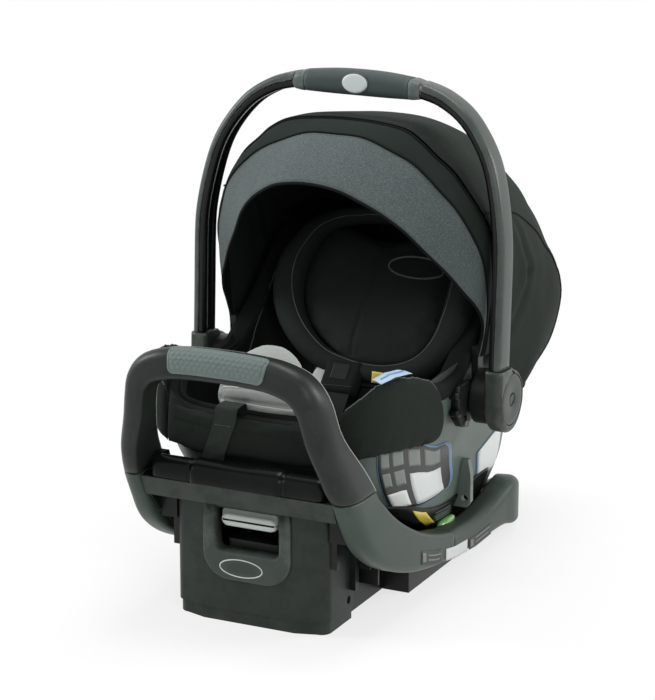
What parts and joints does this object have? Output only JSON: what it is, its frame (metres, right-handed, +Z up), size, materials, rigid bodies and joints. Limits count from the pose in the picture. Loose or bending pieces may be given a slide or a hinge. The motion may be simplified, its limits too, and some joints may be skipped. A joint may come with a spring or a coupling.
{
  "type": "infant car seat",
  "caption": "Rear-facing infant carrier with carry handle and canopy, seated on a vehicle base with anti-rebound bar and sliding recline foot.",
  "frame": {"origin": "on the floor, in the middle of the footprint of the whole object", "axes": "+Z up; +Y towards the head end, -Y towards the foot end with the anti-rebound bar; +X across the width, to the left of a child in the seat"},
  "size_m": [0.4422, 0.6957, 0.6369],
  "materials": {
    "dark_plastic": "fine grained",
    "gloss_black": "glossy",
    "rail_plastic": "satin",
    "steel": "brushed",
    "grip_rubber": "textured",
    "black_plastic": "satin",
    "green_lens": "clear tinted",
    "foot_rubber": "matte",
    "label_film": "smooth film",
    "grey_bezel": "satin",
    "pale_plastic": "satin",
    "shell_plastic": "satin",
    "foam": "moulded bead foam",
    "black_fabric": "knit",
    "grey_fabric": "soft knit",
    "lever_grey": "satin",
    "webbing": "woven webbing",
    "red_plastic": "glossy",
    "handle_plastic": "satin",
    "band_fabric": "heathered weave"
  },
  "bodies": {
    "base": {"base_tray": "dark_plastic", "base_deck": "gloss_black", "deck_lid": "gloss_black", "front_apron": "rail_plastic", "side_rail_right": "rail_plastic", "side_rail_left": "rail_plastic", "rear_rim": "rail_plastic", "anti_rebound_bar": "rail_plastic", "bar_tube": "steel", "bar_grip_pad": "grip_rubber", "cradle_pads": "black_plastic", "latch_bars": "steel", "level_bezel": "black_plastic", "level_lens": "green_lens", "base_feet": "foot_rubber", "rail_labels": "label_film"},
    "recline_foot": {"foot_block": "dark_plastic", "foot_skid": "dark_plastic", "foot_guides": "dark_plastic", "foot_bezel": "grey_bezel", "lever_block": "dark_plastic"},
    "recline_latch": {"recline_lever": "pale_plastic"},
    "carrier": {"carrier_shell": "shell_plastic", "foam_liner": "foam", "seat_pad": "black_fabric", "wing_pad_right": "black_fabric", "wing_pad_left": "black_fabric", "leg_roll": "black_fabric", "infant_insert": "grey_fabric", "belt_guides": "shell_plastic", "latch_hooks": "steel", "release_housing": "black_plastic", "hub_housing_right": "black_plastic", "hub_housing_left": "black_plastic", "hub_axles": "steel", "shell_labels": "label_film", "shoulder_straps": "webbing", "strap_covers": "black_fabric", "chest_clip": "black_plastic", "crotch_strap": "webbing", "buckle_body": "black_plastic", "adjuster_plate": "black_plastic", "adjuster_strap": "webbing", "canopy_rear": "black_fabric"},
    "carrier_release": {"release_lever": "lever_grey"},
    "head_support": {"headrest_board": "black_plastic", "headrest_pad": "black_fabric"},
    "buckle_release": {"buckle_button": "red_plastic"},
    "harness_release": {"adjuster_button": "lever_grey"},
    "carry_handle": {"handle_shell": "handle_plastic", "handle_liner": "black_plastic", "handle_grip": "grip_rubber", "grip_collars": "handle_plastic", "grip_inlay": "pale_plastic", "handle_hubs": "handle_plastic"},
    "hub_button_right": {"button_right": "handle_plastic"},
    "hub_button_left": {"button_left": "handle_plastic"},
    "canopy": {"canopy_arms": "black_plastic", "canopy_bow": "black_fabric", "canopy_band": "band_fabric"}
  },
  "joints": [
    {"name": "foot_extend", "type": "slide", "parent": "base", "child": "recline_foot", "axis": [0, 0, -1], "range_m": [0, 0.036]},
    {"name": "recline_lever_lift", "type": "slide", "parent": "recline_foot", "child": "recline_latch", "axis": [0, 0, 1], "range_m": [0, 0.006], "stiffness_N_per_m": 800},
    {"name": "carrier_lift_off", "type": "slide", "parent": "base", "child": "carrier", "axis": [0, 0, 1], "range_m": [0, 0.15]},
    {"name": "carrier_release_pull", "type": "slide", "parent": "carrier", "child": "carrier_release", "axis": [0, 0, 1], "range_m": [0, 0.008], "stiffness_N_per_m": 600},
    {"name": "head_support_height", "type": "slide", "parent": "carrier", "child": "head_support", "axis": [0, 0.6691, 0.7431], "range_m": [0, 0.05]},
    {"name": "buckle_press", "type": "slide", "parent": "carrier", "child": "buckle_release", "axis": [0, 0.7431, -0.6691], "range_m": [0, 0.003], "stiffness_N_per_m": 800},
    {"name": "harness_release_press", "type": "slide", "parent": "carrier", "child": "harness_release", "axis": [0, 0, -1], "range_m": [0, 0.0015], "stiffness_N_per_m": 800},
    {"name": "handle_swing", "type": "hinge", "parent": "carrier", "child": "carry_handle", "pos_m": [0, 0.035, 0.237], "axis": [1, 0, 0], "range_deg": [-95, 50]},
    {"name": "hub_button_right_press", "type": "slide", "parent": "carry_handle", "child": "hub_button_right", "axis": [-1, 0, 0], "range_m": [0, 0.004], "stiffness_N_per_m": 800},
    {"name": "hub_button_left_press", "type": "slide", "parent": "carry_handle", "child": "hub_button_left", "axis": [1, 0, 0], "range_m": [0, 0.004], "stiffness_N_per_m": 800},
    {"name": "canopy_fold", "type": "hinge", "parent": "carrier", "child": "canopy", "pos_m": [0, 0.035, 0.237], "axis": [1, 0, 0], "range_deg": [-40, 0]}
  ]
}
